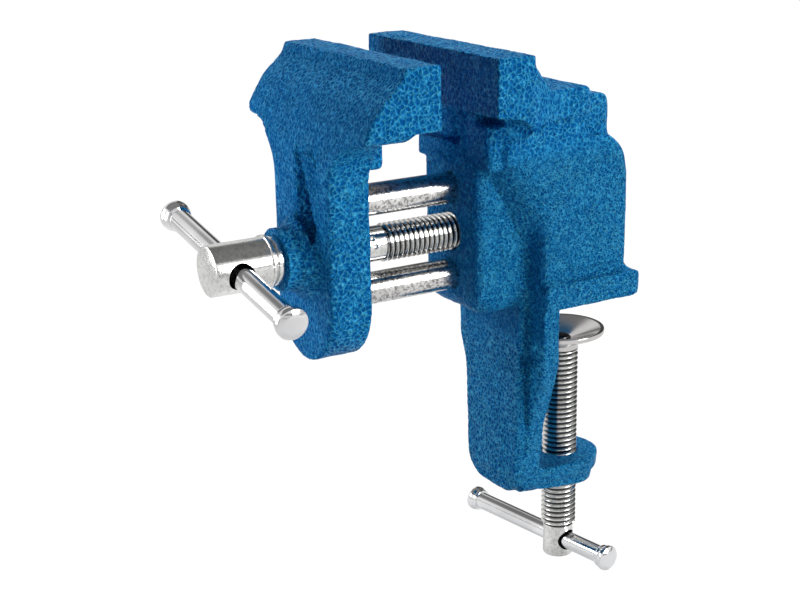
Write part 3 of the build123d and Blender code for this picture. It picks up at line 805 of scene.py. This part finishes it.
# What the metal mirrors: grey by the height of the direction, from level (0) to straight up (1)
FRONT_ROOM = ((0.0, 0.8), (0.07, 0.8), (0.09, 0.06), (0.13, 0.06), (0.17, 1.0), (0.60, 1.0),
              (0.68, 0.22), (1.0, 0.25))
BACK_ROOM = ((0.0, 0.95), (0.17, 0.9), (0.19, 0.05), (0.22, 0.05), (0.25, 0.9), (0.60, 0.8),
             (0.70, 0.2), (1.0, 0.2))
DARK_WING = ((0.0, 0.8), (0.1, 0.6), (0.2, 0.06), (0.75, 0.08), (1.0, 0.12))
BACK_FROM_Y = (-0.2, 0.25)   # the direction's Y over which the front gives way to the back
WING_FROM_X = (0.36, 0.46)   # and its X over which the back gives way to the dark wing
AMBIENT = 0.12
# Name, place, side, watts, what it aims at, and whether the metal mirrors it
LAMPS = (
    ("key_right", (0.45, -0.95, 0.35), 0.5, 9.7, (-0.05, 0, 0.0), True),
    ("top", (0.30, 0.35, 0.80), 0.5, 7, (-0.05, 0, 0.0), False),
    ("left", (-0.225, 0.08, 0.045), 0.10, 0.20, (-0.09, 0, 0.04), True))


def camera():
    data = bpy.data.cameras.new("camera")
    data.sensor_width = SENSOR_MM
    data.lens = data.sensor_width * FOCAL_PX / IMAGE_WIDTH_PX
    data.clip_start, data.clip_end = 0.01, 20
    cam = bpy.data.objects.new("camera", data)
    bpy.context.scene.collection.objects.link(cam)
    a, e, roll = CAMERA_AZIMUTH, CAMERA_ELEVATION, CAMERA_ROLL
    level = Vector((cos(a), -sin(a), 0))
    look = Vector((sin(a) * cos(e), cos(a) * cos(e), -sin(e)))
    upright = level.cross(look)
    right = level * cos(roll) + upright * sin(roll)
    up = upright * cos(roll) - level * sin(roll)
    cam.matrix_world = Matrix.Translation(CAMERA_AT) @ Matrix(
        (right, up, -look)).transposed().to_4x4()
    bpy.context.scene.camera = cam


def area_light(name, at, side, watts, aim, mirrored):
    data = bpy.data.lights.new(name, "AREA")
    data.shape = "RECTANGLE"
    data.size = data.size_y = side
    data.energy = watts
    lamp = bpy.data.objects.new(name, data)
    lamp.location = at
    lamp.visible_glossy = mirrored
    lamp.rotation_euler = (Vector(aim) - Vector(at)).to_track_quat("-Z", "Y").to_euler()
    bpy.context.scene.collection.objects.link(lamp)


def world():
    """White to the camera, the rooms above to the metal, and soft plain light to the rest."""
    w = bpy.data.worlds.new("studio")
    bpy.context.scene.world = w
    w.use_nodes = True
    tree = w.node_tree
    tree.nodes.clear()
    add, wire = tree.nodes.new, tree.links.new
    place = add("ShaderNodeTexCoord")
    split = add("ShaderNodeSeparateXYZ")
    wire(place.outputs["Generated"], split.inputs["Vector"])
    rays = add("ShaderNodeLightPath")

    def room(stops):
        ramp = add("ShaderNodeValToRGB")
        set_stops(ramp, greys(stops))
        wire(split.outputs["Z"], ramp.inputs["Fac"])
        return ramp.outputs["Color"]

    def give_way(under, over, axis, start, end):
        """One room gives way to the other between start and end of the direction's axis."""
        share = add("ShaderNodeMapRange")
        share.inputs["From Min"].default_value = start
        share.inputs["From Max"].default_value = end
        wire(split.outputs[axis], share.inputs["Value"])
        mix = add("ShaderNodeMix")
        mix.data_type = "RGBA"
        wire(share.outputs["Result"], mix.inputs["Factor"])
        wire(under, mix.inputs["A"])
        wire(over, mix.inputs["B"])
        return mix.outputs["Result"]

    def white_light(strength=1.0):
        light = add("ShaderNodeBackground")
        light.inputs["Color"].default_value = OPAQUE_WHITE
        light.inputs["Strength"].default_value = strength
        return light

    def by_ray(kind, others, shown):
        """The light shown for that kind of ray, and the others' light for the rest."""
        mix = add("ShaderNodeMixShader")
        wire(rays.outputs[kind], mix.inputs["Fac"])
        wire(others, mix.inputs[1])
        wire(shown, mix.inputs[2])
        return mix.outputs["Shader"]

    behind = give_way(room(BACK_ROOM), room(DARK_WING), "X", *WING_FROM_X)
    around = give_way(room(FRONT_ROOM), behind, "Y", *BACK_FROM_Y)
    glossy = white_light()
    wire(around, glossy.inputs["Color"])
    shine = by_ray("Is Glossy Ray", white_light(AMBIENT).outputs[0], glossy.outputs[0])
    seen = by_ray("Is Camera Ray", shine, white_light().outputs[0])
    wire(seen, add("ShaderNodeOutputWorld").inputs["Surface"])


def floor():
    """Pale floor that the camera and the metal see as white, with the object's soft shadow."""
    bm = bmesh.new()
    bmesh.ops.create_grid(bm, x_segments=1, y_segments=1, size=FLOOR_HALF_SIDE)
    mesh = bpy.data.meshes.new("floor")
    bm.to_mesh(mesh)
    bm.free()
    ground = link("floor", mesh)
    ground.location.z = CLAMP_HEAD_Z * MM - FLOOR_GAP
    material = bpy.data.materials.new("pale_floor")
    material.use_nodes = True
    tree = material.node_tree
    tree.nodes.clear()
    add, wire = tree.nodes.new, tree.links.new
    pale = add("ShaderNodeBsdfDiffuse")
    pale.inputs["Color"].default_value = FLOOR_GREY
    glow = add("ShaderNodeEmission")
    glow.inputs["Color"].default_value = OPAQUE_WHITE
    glow.inputs["Strength"].default_value = FLOOR_GLOW
    rays = add("ShaderNodeLightPath")
    mirrored = add("ShaderNodeMath")
    mirrored.operation = "MULTIPLY"
    mirrored.inputs[1].default_value = FLOOR_MIRRORED
    wire(rays.outputs["Is Glossy Ray"], mirrored.inputs[0])
    seen = add("ShaderNodeMath")
    seen.operation = "MULTIPLY_ADD"
    seen.inputs[1].default_value = FLOOR_WHITE
    wire(rays.outputs["Is Camera Ray"], seen.inputs[0])
    wire(mirrored.outputs[0], seen.inputs[2])
    both = add("ShaderNodeMixShader")
    wire(seen.outputs[0], both.inputs["Fac"])
    wire(pale.outputs[0], both.inputs[1])
    wire(glow.outputs[0], both.inputs[2])
    wire(both.outputs[0], add("ShaderNodeOutputMaterial").inputs["Surface"])
    ground.data.materials.append(material)


camera()
world()
floor()
for lamp_settings in LAMPS:
    area_light(*lamp_settings)
scene = bpy.context.scene
scene.view_settings.view_transform = "Standard"
